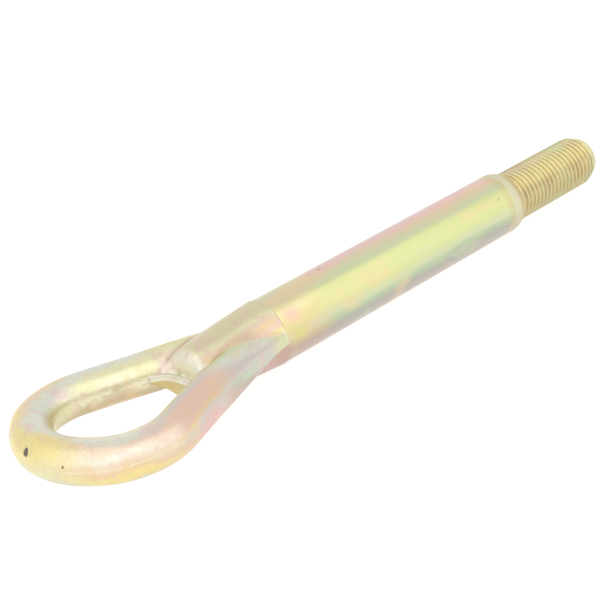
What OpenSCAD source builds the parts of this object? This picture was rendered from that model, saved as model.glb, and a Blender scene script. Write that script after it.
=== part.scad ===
// Screw-in towing eye: one drop forging with a turned shank and a threaded end.
// X runs along the shank and points out of the thread. The eye lies flat in the XY plane.
// The origin is on the axis, in the plane of the shoulder where the thread begins.

/* [Thread] */
// Outside diameter of the thread
thread_d = 18; // [16:0.5:19]
// Length from the shoulder to the tip
thread_len = 42; // [25:1:60]
// Diameter of the flat end of the tip
tip_d = 14.3; // [10:0.1:15.5]
// Length of the cone that leads into the thread
tip_lead = 4.5; // [2:0.5:8]
// Distance from one crest of the thread to the next
thread_pitch = 2; // [1.5:0.25:2.5]
// Depth of the thread's groove
thread_depth = 1.22; // [0.8:0.02:1.5]

/* [Shank] */
// Diameter of the turned shank
shank_d = 21.5; // [21:0.5:26]
// Length of the turned shank, from the shoulder to the forging
shank_len = 110; // [60:1:160]
// Width of the flat ring on the shoulder, outside the thread
shoulder_land = 0.5; // [0.3:0.1:0.9]
// Length of the cone between that ring and the shank
shoulder_cone = 3; // [1:0.5:6]

/* [Root of the forging] */
// How far the forging stands proud of the turned shank
root_step = 0.5; // [0.3:0.1:1.5]
// Angle at which the root widens where it leaves the shank
root_angle = 12; // [6:1:18]
// Height of the round ridge above the parting plane where it ends between the arms
ridge_h = 9.3; // [8:0.1:11]
// Half the width of the ridge there, at its foot
ridge_half_w = 11; // [9.5:0.1:12]
// Length of the rounded nose of the ridge
nose_len = 9; // [5:0.5:14]

/* [Eye] */
// Thickness of the bar that the eye is bent from
bar_d = 12.8; // [10:0.2:15]
// Length from the end of the shank to the outside of the eye's tip
eye_reach = 85; // [80:1:100]
// Radius of the bar's middle line at the tip
tip_r = 34; // [30:0.5:40]
// Half the angle that the arc of the tip covers
tip_half_angle = 37; // [32:1:42]
// Radius of the bar's middle line at the sides
side_r = 16; // [13:0.5:19]
// Angle between each arm and the shank
arm_angle = 26.5; // [23:0.5:30]
// Length of the hole along the shank's axis
hole_len = 39; // [34:0.5:43]
// Length along the arm over which the hole turns into its blunt end
crotch_turn = 6.5; // [4:0.5:9]
// Half the height of the flat band left where the flash was trimmed, along the ring
flash_half_h = 0.6; // [0.3:0.1:1.2]
// Half the height of that band at the step, where the flash was thickest
root_flash_half_h = 1.4; // [0.8:0.1:2]

/* [Hidden] */

bar_r = bar_d / 2;
shank_r = shank_d / 2;
thread_r = thread_d / 2;
tip_face_r = tip_d / 2;
step_x = -shank_len;
root_r = shank_r + root_step;
// How far the shank's cylinder runs on inside the forging
shank_bury = 1.5;
// Facets of the turned surfaces
turned_fn = 96;
// Share of the pitch that the flat crest of the thread takes
crest_share = 0.125;

// Plan of the bar's middle line: tip arc, side arc, then a straight arm
eye_tip_x = step_x - eye_reach;
tip_centre_x = eye_tip_x + bar_r + tip_r;
side_centre = [
    tip_centre_x - (tip_r - side_r) * cos(tip_half_angle),
    (tip_r - side_r) * sin(tip_half_angle)
];
arm_dir = [cos(arm_angle), -sin(arm_angle)];
arm_out = [sin(arm_angle), cos(arm_angle)];
arm_start = side_centre + side_r * arm_out;

// The hole's blunt end, between the arms: its edge leaves each arm along the arm's direction
crotch_x = eye_tip_x + bar_d + hole_len;
arm_len = (crotch_x - crotch_turn - arm_start[0] + bar_r * arm_out[0]) / arm_dir[0];
arm_end = arm_start + arm_len * arm_dir;
hole_corner = arm_end - bar_r * arm_out;
crotch_power = hole_corner[1] / (crotch_turn * tan(arm_angle));

// Outer edge of the root: a curve that leaves the arm and the shank along their own directions
root_from = arm_end + bar_r * arm_out;
root_to = [step_x, root_r];
root_dir = [cos(root_angle), -sin(root_angle)];
root_turn = meet(root_from, arm_dir, root_to, root_dir);

// Rows of the forging's grid in each stretch, and points across a row
tip_rows = 8;
side_rows = 14;
arm_rows = 3;
crotch_rows = 12;
ridge_rows = 12;
across = 14;
// Share of the root's outer edge that lies beside the blunt end of the hole
crotch_share = 0.34;
// Sharpness of the valleys between the ridge and the arms
valley_power = 4;
// Share of the arm's height that is lost where its shelf meets the step
shelf_drop = 0.6;
// Fullness of the ridge's section at its nose, where 0.5 is the round section at the shank
nose_fullness = 0.9;

tip_row = tip_rows;
side_row = tip_row + side_rows;
arm_row = side_row + arm_rows;
crotch_row = arm_row + crotch_rows;
last_row = crotch_row + ridge_rows;

// Where two lines cross, each given by a point and a direction
function meet(p, d, q, e) =
    p + d * ((q[0] - p[0]) * e[1] - (q[1] - p[1]) * e[0]) / (d[0] * e[1] - d[1] * e[0]);

// Curve from a to c with one control point
function bend(a, b, c, t) = (1 - t) * (1 - t) * a + 2 * t * (1 - t) * b + t * t * c;

// Share of the way through the stretch of rows that starts after row a and ends at row b
function share(i, a, b) = (i - a) / (b - a);

// A point of the bar, side being -1 on the hole's edge and 1 on the outer edge
function tip_arc(a, side) =
    [tip_centre_x - (tip_r + side * bar_r) * cos(a), (tip_r + side * bar_r) * sin(a)];
function side_arc(a, side) =
    side_centre + (side_r + side * bar_r) * [-cos(a), sin(a)];
function bar_point(i, side) =
    i <= tip_row ? tip_arc(tip_half_angle * share(i, 0, tip_row), side)
    : i <= side_row ? side_arc(
        tip_half_angle + (90 + arm_angle - tip_half_angle) * share(i, tip_row, side_row), side)
    : arm_start + arm_len * share(i, side_row, arm_row) * arm_dir + side * bar_r * arm_out;

// X of the hole's blunt edge at a distance y from the axis
function hole_edge(y) = crotch_x - crotch_turn * pow(y / hole_corner[1], crotch_power);

// Share of the way along the ridge at row i: close together at its nose
function ridge_share(i) = pow(share(i, crotch_row, last_row), 1.6);

// Inner end of row i: on the hole's edge first, and then along the axis
function crotch_point(y) = [hole_edge(y), y];
function inner(i) =
    i <= arm_row ? bar_point(i, -1)
    : i < crotch_row ? crotch_point(hole_corner[1] * (1 - share(i, arm_row, crotch_row)))
    : [crotch_x + (step_x - crotch_x) * ridge_share(i), 0];

// Share of the root's outer edge that row i has reached
function root_share(i) =
    i <= arm_row ? 0
    : i <= crotch_row ? crotch_share * share(i, arm_row, crotch_row)
    : crotch_share + (1 - crotch_share) * ridge_share(i);
function outer(i) =
    i <= arm_row ? bar_point(i, 1) : bend(root_from, root_turn, root_to, root_share(i));

// Share of the way across row i at column j: close together where the surface turns down,
// which is at both edges of a bar and at the outer edge alone where the ridge meets the shank
function cross_share(i, j) =
    let (k = min(1, max(0, share(i, crotch_row, last_row))))
    (1 - k) * (1 - cos(180 * j / across)) / 2 + k * sin(90 * j / across);

// Outer edge of the arm and the root at x: its distance from the axis, and the cosine of its slope
function outer_edge(x) =
    let (run = x - root_from[0], b = 2 * (root_turn[0] - root_from[0]))
    let (a = root_from[0] - 2 * root_turn[0] + root_to[0])
    let (t = run <= 0 ? 0 : 2 * run / (b + sqrt(b * b + 4 * a * run)))
    let (d = (1 - t) * (root_turn - root_from) + t * (root_to - root_turn))
    [bend(root_from, root_turn, root_to, t)[1] - min(0, run) * tan(arm_angle), d[0] / norm(d)];

// Half the height of the flash band at x: it thickens evenly from the end of the arms to the step
function band_h(x) =
    let (run = min(1, max(0, (x - arm_end[0]) / (step_x - arm_end[0]))))
    flash_half_h + (root_flash_half_h - flash_half_h) * run;

// Half a circle's height over a strip two radii wide, e being the distance from its edge
function round_over(e, r) = e <= 0 || e >= 2 * r ? 0 : sqrt(1 - pow((e - r) / r, 2));

// Height of the ridge above the parting plane, which runs out in a nose at the hole
function ridge_height(p) =
    let (run = pow(max(0, p[0] - crotch_x) / (step_x - crotch_x), 1.5))
    let (top = ridge_h + (root_r - ridge_h) * run - band_h(p[0]))
    let (half_w = ridge_half_w + (root_r - ridge_half_w) * run)
    let (fullness = nose_fullness + (0.5 - nose_fullness) * run)
    let (rise = min(1, max(0, p[0] - hole_edge(p[1])) / nose_len))
    p[1] >= half_w ? 0 : top * pow(1 - pow(p[1] / half_w, 2), fullness) * sqrt(1 - pow(1 - rise, 2));

// Height of the arm, which sinks to a low shelf beside the ridge on the way to the shank
function arm_height(p) =
    let (edge = outer_edge(p[0]), run = max(0, p[0] - root_from[0]) / (step_x - root_from[0]))
    let (sunk = 1 - shelf_drop * pow(run, 2))
    (bar_r - flash_half_h) * round_over((edge[0] - p[1]) * edge[1], bar_r) * sunk;

// Upper surface of the half with positive Y
function surface_point(i, j) =
    let (a = inner(i), b = outer(i))
    let (s = cross_share(i, j), p = a + s * (b - a))
    let (arm = i <= arm_row ? (bar_r - flash_half_h) * round_over(s * bar_d, bar_r) : arm_height(p))
    let (ridge = i <= arm_row ? 0 : ridge_height(p), band = i <= arm_row ? flash_half_h : band_h(p[0]))
    [p[0], p[1], band + pow(pow(arm, valley_power) + pow(ridge, valley_power), 1 / valley_power)];

// Number of a grid point: the two halves share the points that lie on the axis
cols = across + 1;
layer = (last_row + 1) * cols;
function on_axis(i, j) = i == 0 || (j == 0 && i >= crotch_row);
function id(left, low, i, j) =
    (low ? 2 * layer : 0) + (left && !on_axis(i, j) ? layer : 0) + i * cols + j;

// One quad as two triangles, turned over where the half or the layer is mirrored
function quad(p, q, r, s, flip) = flip ? [[r, q, p], [s, r, p]] : [[p, q, r], [p, r, s]];

module forged_eye() {
    upper = [for (i = [0 : last_row]) for (j = [0 : across]) surface_point(i, j)];
    points = concat(
        upper,
        [for (p = upper) [p[0], -p[1], p[2]]],
        [for (p = upper) [p[0], p[1], -p[2]]],
        [for (p = upper) [p[0], -p[1], -p[2]]]
    );
    skin = [
        for (left = [false, true]) for (low = [false, true])
        for (i = [0 : last_row - 1]) for (j = [0 : across - 1])
        each quad(
            id(left, low, i, j), id(left, low, i + 1, j),
            id(left, low, i + 1, j + 1), id(left, low, i, j + 1), left == low)
    ];
    outer_band = [
        for (left = [false, true]) for (i = [0 : last_row - 1])
        each quad(
            id(left, false, i, across), id(left, false, i + 1, across),
            id(left, true, i + 1, across), id(left, true, i, across), !left)
    ];
    hole_band = [
        for (left = [false, true]) for (i = [0 : crotch_row - 1])
        each quad(
            id(left, false, i, 0), id(left, false, i + 1, 0),
            id(left, true, i + 1, 0), id(left, true, i, 0), left)
    ];
    end_face = [
        for (left = [false, true]) for (j = [0 : across - 1])
        each quad(
            id(left, false, last_row, j), id(left, false, last_row, j + 1),
            id(left, true, last_row, j + 1), id(left, true, last_row, j), left)
    ];
    polyhedron(points = points, faces = concat(skin, outer_band, hole_band, end_face), convexity = 6);
}

// Shank, shoulder and threaded end as one turned profile. The thread's grooves are rings of its own
// section, side by side at its pitch.
module turned_end() {
    ring_r = thread_r + shoulder_land;
    groove_r = thread_r - thread_depth;
    open_half = thread_pitch * (1 - crest_share) / 2;
    full_len = thread_len - tip_lead;
    grooves = floor(full_len / thread_pitch);
    rotate([90, 0, 90])
        rotate_extrude($fn = turned_fn)
            polygon([
                [0, step_x - shank_bury],
                [shank_r, step_x - shank_bury],
                [shank_r, -shoulder_cone],
                [ring_r, 0],
                [thread_r, 0],
                for (k = [0 : grooves - 1]) for (corner = [-1, 0, 1])
                [corner == 0 ? groove_r : thread_r, (k + 0.5) * thread_pitch + corner * open_half],
                [thread_r, full_len],
                [tip_face_r, thread_len],
                [0, thread_len]
            ]);
}

module tow_eye() {
    color("khaki")
    union() {
        forged_eye();
        turned_end();
    }
}

tow_eye();
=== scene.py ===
"""Screw-in towing eye: a steel forging with a turned shank and a rolled thread, zinc plated."""

import logging
import math
from dataclasses import dataclass, field
from enum import Enum
from typing import Any, Sequence

import bpy
import numpy as np
from mathutils import Matrix, Vector


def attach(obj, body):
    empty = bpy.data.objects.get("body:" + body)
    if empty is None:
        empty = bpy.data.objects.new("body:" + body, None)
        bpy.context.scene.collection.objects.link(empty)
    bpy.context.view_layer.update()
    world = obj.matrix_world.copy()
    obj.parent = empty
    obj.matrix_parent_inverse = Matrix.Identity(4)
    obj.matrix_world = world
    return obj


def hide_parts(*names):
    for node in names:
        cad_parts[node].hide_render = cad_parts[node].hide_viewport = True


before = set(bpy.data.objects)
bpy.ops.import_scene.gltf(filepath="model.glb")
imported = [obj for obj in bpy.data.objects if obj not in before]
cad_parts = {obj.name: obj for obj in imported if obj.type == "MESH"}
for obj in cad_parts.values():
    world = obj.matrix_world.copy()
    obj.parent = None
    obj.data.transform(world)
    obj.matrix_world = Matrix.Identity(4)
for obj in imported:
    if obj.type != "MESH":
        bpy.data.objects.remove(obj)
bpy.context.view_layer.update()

LOG = logging.getLogger("tow_eye")
BODY = "root"
CAD_NODE = "tow_eye"
MM = 0.001
WELD_STEPS_PER_MM = 2000.0


# ---------------------------------------------------------------- colours

def to_linear(hex_colour: str) -> tuple[float, float, float, float]:
    """Turn an sRGB hex colour into the linear colour that a socket takes.

    The sRGB curve is a straight line up to 0.04045 and a power of 2.4 above it.

    Args:
        hex_colour: The colour as six hex digits after a hash.

    Returns:
        Red, green, blue and alpha, linear.
    """
    parts = [int(hex_colour[k:k + 2], 16) / 255.0 for k in (1, 3, 5)]
    linear = [p / 12.92 if p <= 0.04045 else ((p + 0.055) / 1.055) ** 2.4 for p in parts]
    return (*linear, 1.0)


# ---------------------------------------------------------------- meshes

def smooth(low: float, high: float, x: np.ndarray) -> np.ndarray:
    """Rise from 0 at low to 1 at high along 3t^2 - 2t^3.

    Args:
        low: Where the rise starts.
        high: Where it ends.
        x: The values.

    Returns:
        The share for each value.
    """
    t = np.clip((x - low) / (high - low), 0.0, 1.0)
    return t * t * (3.0 - 2.0 * t)


def grid_triangles(rows: int, cols: int, closed: bool, first: int = 0) -> np.ndarray:
    """Two triangles for each cell of a grid whose points are numbered row by row.

    Args:
        rows: Number of rows of points.
        cols: Number of points in a row.
        closed: Whether the last column joins the first.
        first: Number of the grid's first point.

    Returns:
        An array of triangles, three point numbers each.
    """
    i, j = np.meshgrid(np.arange(rows - 1), np.arange(cols if closed else cols - 1), indexing="ij")
    a = i * cols + j
    b = a + cols
    c = (i + 1) * cols + (j + 1) % cols
    d = i * cols + (j + 1) % cols
    lower = np.stack([a, b, c], -1).reshape(-1, 3)
    upper = np.stack([a, c, d], -1).reshape(-1, 3)
    return np.concatenate([lower, upper]) + first


def weld(points: np.ndarray, triangles: np.ndarray) -> tuple[np.ndarray, np.ndarray, np.ndarray]:
    """Join points that share a place, and drop the triangles that this leaves without an area.

    Places are compared after rounding to whole steps, so points closer than a step join.

    Args:
        points: Points in mm.
        triangles: Three point numbers each.

    Returns:
        The points kept, the triangles, and the number of each kept point before the weld.
    """
    keys = np.round(points * WELD_STEPS_PER_MM).astype(np.int64)
    _, kept, number = np.unique(keys, axis=0, return_index=True, return_inverse=True)
    joined = number.reshape(-1)[triangles]
    a, b, c = joined.T
    joined = joined[(a != b) & (b != c) & (c != a)]
    return points[kept], joined, kept


def volume(points: np.ndarray, triangles: np.ndarray) -> float:
    """Signed volume inside closed triangles, the sum of the tetrahedra over the origin."""
    a, b, c = (points[triangles[:, k]] for k in range(3))
    return float(np.einsum("ij,ij->i", a, np.cross(b, c)).sum() / 6.0)


@dataclass
class Skin:
    """A closed triangle skin in mm, with values at its points that the finishes read by name."""

    points: np.ndarray
    triangles: np.ndarray
    values: dict[str, np.ndarray]

    def facing_out(self) -> "Skin":
        """The same skin with its faces turned outwards."""
        if volume(self.points, self.triangles) < 0.0:
            return Skin(self.points, self.triangles[:, ::-1], self.values)
        return self

    def to_piece(self, name: str, crease_angle: float) -> bpy.types.Object:
        """Make the skin a smooth mesh object that rides with the forging.

        Args:
            name: Name of the object.
            crease_angle: Angle in degrees past which an edge stays sharp.

        Returns:
            The object, at the origin, in metres.
        """
        mesh = bpy.data.meshes.new(name)
        count = len(self.triangles)
        mesh.vertices.add(len(self.points))
        mesh.vertices.foreach_set("co", (self.points * MM).astype(np.float32).ravel())
        mesh.loops.add(count * 3)
        mesh.loops.foreach_set("vertex_index", self.triangles.astype(np.int32).ravel())
        mesh.polygons.add(count)
        mesh.polygons.foreach_set("loop_start", np.arange(0, count * 3, 3, dtype=np.int32))
        mesh.polygons.foreach_set("loop_total", np.full(count, 3, dtype=np.int32))
        mesh.polygons.foreach_set("use_smooth", np.ones(count, dtype=bool))
        mesh.update(calc_edges=True)
        mesh.validate()
        mesh.set_sharp_from_angle(angle=math.radians(crease_angle))
        for key, value in self.values.items():
            kind, item = ("FLOAT_VECTOR", "vector") if value.ndim == 2 else ("FLOAT", "value")
            layer = mesh.attributes.new(key, kind, "POINT")
            layer.data.foreach_set(item, value.astype(np.float32).ravel())
        piece = bpy.data.objects.new(name, mesh)
        bpy.context.scene.collection.objects.link(piece)
        return piece


def turned_skin(x: np.ndarray, radius: np.ndarray, facets: int) -> Skin:
    """Carry a profile round the X axis and close both ends on it.

    Point (i, j) is (x_ij, radius_ij cos a_j, radius_ij sin a_j), a_j running once round.

    Args:
        x: Distance along the axis, for each row or for each row and facet.
        radius: Radius, for each row or for each row and facet, 0 in the first and last row.
        facets: Number of points round the axis.

    Returns:
        The closed skin.
    """
    angle = np.linspace(0.0, 2.0 * np.pi, facets, endpoint=False)
    shape = (len(x), facets)
    along = np.broadcast_to(x if x.ndim == 2 else x[:, None], shape)
    away = np.broadcast_to(radius if radius.ndim == 2 else radius[:, None], shape)
    points = np.stack([along, away * np.cos(angle), away * np.sin(angle)], -1).reshape(-1, 3)
    points, triangles, _ = weld(points, grid_triangles(len(x), facets, True))
    return Skin(points, triangles, {}).facing_out()


def filleted(profile: Sequence[tuple[float, float, float]], steps: int) -> np.ndarray:
    """Round the corners of a profile, each by a curve whose control point is the corner.

    Args:
        profile: X, radius and corner rounding of each point, in mm.
        steps: Points in each rounded corner.

    Returns:
        The points of the rounded profile, one row each.
    """
    corners = np.array([(p[0], p[1]) for p in profile], float)
    out: list[np.ndarray] = [corners[:1]]
    t = np.linspace(0.0, 1.0, steps)[:, None]
    for k in range(1, len(corners) - 1):
        here, size = corners[k], profile[k][2]
        before = (corners[k - 1] - here) / np.linalg.norm(corners[k - 1] - here)
        after = (corners[k + 1] - here) / np.linalg.norm(corners[k + 1] - here)
        start, end = here + size * before, here + size * after
        out.append((1 - t) ** 2 * start + 2 * t * (1 - t) * here + t ** 2 * end)
    out.append(corners[-1:])
    return np.concatenate(out)


# ---------------------------------------------------------------- the forged eye

@dataclass(frozen=True)
class DieHalf:
    """What one half of the forging die leaves.

    side is 1 above the flash and -1 below it. step_half_w is the ridge's half width at the step,
    and fullness the power of its section there, where 0.5 gives an ellipse. shelf_drop is the share
    of the arm's height that is lost at the step. lip is the flat strip between the hole and the
    ridge's nose, and nose_len the length over which the nose rises. Lengths are in mm.
    """

    side: int
    step_half_w: float
    shelf_drop: float
    lip: float
    nose_len: float
    fullness: float


UPPER = DieHalf(side=1, step_half_w=11.25, shelf_drop=0.6, lip=1.6, nose_len=4.6, fullness=0.5)
LOWER = DieHalf(side=-1, step_half_w=10.85, shelf_drop=1.0, lip=0.15, nose_len=0.9, fullness=0.56)


@dataclass
class ForgedEye:
    """The pear-shaped ring and the root that joins it to the shank, forged flat in one die.

    Lengths are in mm and angles in radians. The plan is a middle line of two arcs and a straight
    arm on each side of the axis, with the bar round it, and a root that runs on to the step. The
    rows, which cross the bar or the root, are counted from the tip to the step.
    """

    # the bar and its plan
    bar_d: float = 12.8
    eye_reach: float = 85.0
    tip_r: float = 34.0
    tip_half_angle: float = math.radians(37.0)
    side_r: float = 16.0
    arm_angle: float = math.radians(26.5)
    hole_len: float = 39.0
    crotch_turn: float = 6.5
    # the root up to its step
    step_x: float = -110.0
    root_r: float = 11.25
    root_angle: float = math.radians(12.0)
    crest_r: float = 10.77
    turned_r: float = 10.72
    step_round: float = 0.7
    least_step: float = 0.03
    # the flash band and the bead on it
    flash_half_h: float = 0.6
    root_flash_half_h: float = 1.4
    ledge: float = 0.05
    bead_w: float = 1.8
    bead_h: float = 0.3
    # the ridge and the arm beside it
    ridge_h: float = 7.2
    ridge_half_w: float = 11.2
    ridge_growth: float = 0.75
    nose_fullness: float = 0.9
    nose_roundness: float = 0.8
    inner_narrowing: float = 0.45
    narrowing_run: float = 0.25
    valley_power: float = 4.0
    # rows and columns of the mesh
    tip_rows: int = 26
    side_rows: int = 44
    arm_rows: int = 20
    crotch_rows: int = 56
    ridge_rows: int = 64
    step_rows: int = 6
    across: int = 44
    crotch_share: float = 0.34
    row_crowding: float = 1.6

    def __post_init__(self) -> None:
        """Work out the plan: the bar's middle line, the hole's blunt end and the root's edge."""
        self.bar_r = self.bar_d / 2
        self.eye_tip_x = self.step_x - self.eye_reach
        self.tip_centre_x = self.eye_tip_x + self.bar_r + self.tip_r
        reach = self.tip_r - self.side_r
        self.side_centre = np.array([
            self.tip_centre_x - reach * math.cos(self.tip_half_angle),
            reach * math.sin(self.tip_half_angle)])
        self.arm_dir = np.array([math.cos(self.arm_angle), -math.sin(self.arm_angle)])
        self.arm_out = np.array([math.sin(self.arm_angle), math.cos(self.arm_angle)])
        self.arm_start = self.side_centre + self.side_r * self.arm_out
        self.crotch_x = self.eye_tip_x + self.bar_d + self.hole_len
        corner_x = self.crotch_x - self.crotch_turn
        arm_run = corner_x + self.bar_r * self.arm_out[0] - self.arm_start[0]
        self.arm_len = arm_run / self.arm_dir[0]
        arm_end = self.arm_start + self.arm_len * self.arm_dir
        self.arm_end_x = arm_end[0]
        self.hole_corner = arm_end - self.bar_r * self.arm_out
        self.crotch_power = self.hole_corner[1] / (self.crotch_turn * math.tan(self.arm_angle))
        self.root_from = arm_end + self.bar_r * self.arm_out
        self.root_to = np.array([self.step_x, self.root_r])
        root_dir = np.array([math.cos(self.root_angle), -math.sin(self.root_angle)])
        gap = self.root_to - self.root_from
        cross = self.arm_dir[0] * root_dir[1] - self.arm_dir[1] * root_dir[0]
        run = (gap[0] * root_dir[1] - gap[1] * root_dir[0]) / cross
        self.root_turn = self.root_from + self.arm_dir * run
        self.arm_row = self.tip_rows + self.side_rows + self.arm_rows
        self.crotch_row = self.arm_row + self.crotch_rows
        self.last_row = self.crotch_row + self.ridge_rows

    def bar_edge(self, side: int) -> np.ndarray:
        """One edge of the bar in plan: an arc at the tip, an arc at the side, then a straight arm.

        Args:
            side: -1 for the hole's edge and 1 for the outer edge.

        Returns:
            The edge's points, one for each row up to the end of the arm.
        """
        a = self.tip_half_angle * np.linspace(0, 1, self.tip_rows + 1)[:, None]
        tip_r = self.tip_r + side * self.bar_r
        tip = np.hstack([self.tip_centre_x - tip_r * np.cos(a), tip_r * np.sin(a)])
        turn = math.pi / 2 + self.arm_angle - self.tip_half_angle
        b = self.tip_half_angle + turn * np.linspace(0, 1, self.side_rows + 1)[1:, None]
        side_r = self.side_r + side * self.bar_r
        bend = self.side_centre + side_r * np.hstack([-np.cos(b), np.sin(b)])
        s = np.linspace(0, 1, self.arm_rows + 1)[1:, None]
        arm = self.arm_start + self.arm_len * s * self.arm_dir + side * self.bar_r * self.arm_out
        return np.concatenate([tip, bend, arm])

    def hole_edge(self, y: np.ndarray) -> np.ndarray:
        """X of the hole's blunt end: it falls back from the middle as a power of the distance y."""
        share = np.abs(y) / self.hole_corner[1]
        return self.crotch_x - self.crotch_turn * share ** self.crotch_power

    def root_edge(self, t: np.ndarray) -> np.ndarray:
        """Outer edge of the root: a curve with one control point where its end directions cross.

        Args:
            t: Shares of the way along the curve, from the arm to the step.

        Returns:
            The edge's points.
        """
        t = t[..., None]
        turned = 2 * t * (1 - t) * self.root_turn
        return (1 - t) ** 2 * self.root_from + turned + t ** 2 * self.root_to

    def outer_edge(self, x: np.ndarray) -> tuple[np.ndarray, np.ndarray]:
        """Outer edge of the arm and the root at x.

        On the root, x is a quadratic in the curve's parameter t, which is solved for t.

        Args:
            x: Places along the shank's axis.

        Returns:
            The edge's distance from the axis and the cosine of its slope.
        """
        run = x - self.root_from[0]
        b = 2 * (self.root_turn[0] - self.root_from[0])
        a = self.root_from[0] - 2 * self.root_turn[0] + self.root_to[0]
        ahead = np.maximum(run, 0.0)
        t = 2 * ahead / (b + np.sqrt(b * b + 4 * a * ahead))
        t_d = t[..., None]
        d = (1 - t_d) * (self.root_turn - self.root_from) + t_d * (self.root_to - self.root_turn)
        y = self.root_edge(t)[..., 1] - np.minimum(run, 0.0) * math.tan(self.arm_angle)
        return y, d[..., 0] / np.linalg.norm(d, axis=-1)

    def round_over(self, e: np.ndarray) -> np.ndarray:
        """Height share of half a circle over a strip one bar wide, e mm from the strip's edge.

        The half circle starts a ledge's width inside each edge, where the flash was trimmed off.
        """
        reach = self.bar_r - self.ledge
        return np.sqrt(np.clip(1 - ((e - self.bar_r) / reach) ** 2, 0.0, 1.0))

    def band_h(self, x: np.ndarray) -> np.ndarray:
        """Half the height of the flash band, which thickens evenly from the arms to the step."""
        run = np.clip((x - self.arm_end_x) / (self.step_x - self.arm_end_x), 0.0, 1.0)
        return self.flash_half_h + (self.root_flash_half_h - self.flash_half_h) * run

    def ridge_height(self, x: np.ndarray, y: np.ndarray, die: DieHalf) -> np.ndarray:
        """Height of the ridge over the flash.

        Across, it is the height times the fullness power of 1 - (y / half width)^2. Behind the lip
        its nose rises as a power of the sine of a quarter turn. Height, half width and fullness go
        from their values at the hole to those at the step with a power of the share of the way.

        Args:
            x: Places along the axis.
            y: Distances from the axis.
            die: The half of the die.

        Returns:
            The heights in mm.
        """
        way = np.maximum(x - self.crotch_x, 0.0) / (self.step_x - self.crotch_x)
        run = way ** self.ridge_growth
        top = self.ridge_h + (self.crest_r - self.ridge_h) * run - self.band_h(x)
        half_w = self.ridge_half_w + (die.step_half_w - self.ridge_half_w) * run
        fullness = self.nose_fullness + (die.fullness - self.nose_fullness) * run
        behind = x - self.hole_edge(y) - die.lip
        rise = np.clip(behind / die.nose_len, 0.0, 1.0)
        section = np.clip(1 - (y / half_w) ** 2, 0.0, 1.0) ** fullness
        return top * section * np.sin(np.pi / 2 * rise) ** self.nose_roundness

    def bead_height(self, x: np.ndarray, y: np.ndarray) -> np.ndarray:
        """Height of the flash's bead: half an ellipse over the lip at the hole's blunt end."""
        share = (x - self.hole_edge(y)) / self.bead_w
        return self.bead_h * np.sqrt(np.clip(1 - (2 * share - 1) ** 2, 0.0, 1.0))

    def arm_height(self, x: np.ndarray, y: np.ndarray, die: DieHalf) -> np.ndarray:
        """Height of the round arm over the flash, which sinks to a low shelf beside the ridge.

        Inside its crest the arm's section is drawn narrower by the pull, so that it falls to the
        valley sooner. The height sinks by the shelf's drop times the square of the way to the step.

        Args:
            x: Places along the axis.
            y: Distances from the axis.
            die: The half of the die.

        Returns:
            The heights in mm.
        """
        edge, slope = self.outer_edge(x)
        run = np.maximum(x - self.root_from[0], 0.0) / (self.step_x - self.root_from[0])
        away = (edge - y) * slope
        pull = self.inner_narrowing * smooth(0.0, self.narrowing_run, run)
        section = self.round_over(away + pull * np.maximum(away - self.bar_r, 0.0))
        return (self.bar_r - self.flash_half_h) * section * (1 - die.shelf_drop * run ** 2)

    def row_ends(self) -> tuple[np.ndarray, np.ndarray]:
        """Inner and outer end of every row.

        Returns:
            The ends on the hole's edge or the axis, and the ends on the outer edge.
        """
        down = 1 - np.linspace(0, 1, self.crotch_rows + 1)[1:]
        y = self.hole_corner[1] * down
        crotch = np.stack([self.hole_edge(y), y], -1)
        along = np.linspace(0, 1, self.ridge_rows + 1)[1:] ** self.row_crowding
        ridge = np.stack([self.crotch_x + (self.step_x - self.crotch_x) * along, 0 * along], -1)
        inner = np.concatenate([self.bar_edge(-1), crotch, ridge])
        shares = np.concatenate([
            self.crotch_share * (1 - down), self.crotch_share + (1 - self.crotch_share) * along])
        outer = np.concatenate([self.bar_edge(1), self.root_edge(shares)])
        return inner, outer

    def quarter(self, die: DieHalf) -> tuple[np.ndarray, np.ndarray, np.ndarray]:
        """The surface with positive Y that one half of the die leaves, drawn above the flash band.

        A point is a share s of the way from the row's inner end to its outer end. Its height is the
        band's half height plus the fourth root of arm^4 + ridge^4 + bead^4, which leaves a valley
        between them. The ridge's share is (ridge^4 + bead^4) over that sum. Where all are 0, a tiny
        addition gives the inner half of a row to the ridge and the outer half to the arm.

        Args:
            die: The half of the die.

        Returns:
            The points, as rows by columns by three, each row's outward direction in plan, and the
            share of the ridge in the height.
        """
        inner, outer = self.row_ends()
        row = np.arange(self.last_row + 1)
        blend = np.clip((row - self.crotch_row) / self.ridge_rows, 0.0, 1.0)[:, None]
        j = np.arange(self.across + 1) / self.across
        s = (1 - blend) * (1 - np.cos(np.pi * j)) / 2 + blend * np.sin(np.pi / 2 * j)
        plan = inner[:, None, :] + s[..., None] * (outer - inner)[:, None, :]
        x, y = plan[..., 0], plan[..., 1]
        on_bar = (row <= self.arm_row)[:, None]
        tube = (self.bar_r - self.flash_half_h) * self.round_over(s * self.bar_d)
        arm = np.where(on_bar, tube, self.arm_height(x, y, die))
        ridge = np.where(on_bar, 0.0, self.ridge_height(x, y, die))
        bead = np.where(on_bar, 0.0, self.bead_height(x, y))
        power = self.valley_power
        total = arm ** power + ridge ** power + bead ** power
        z = self.band_h(x) + total ** (1 / power)
        tiny = 1e-9
        share = (ridge ** power + bead ** power + np.where(s < 0.5, tiny, 0.0)) / (total + tiny)
        share = np.where(on_bar, 0.0, share)
        outward = (outer - inner) / np.linalg.norm(outer - inner, axis=-1)[:, None]
        outward = np.broadcast_to(outward[:, None, :], plan.shape)
        return np.stack([x, y, z], -1), np.concatenate([outward, 0 * outward[..., :1]], -1), share

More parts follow.
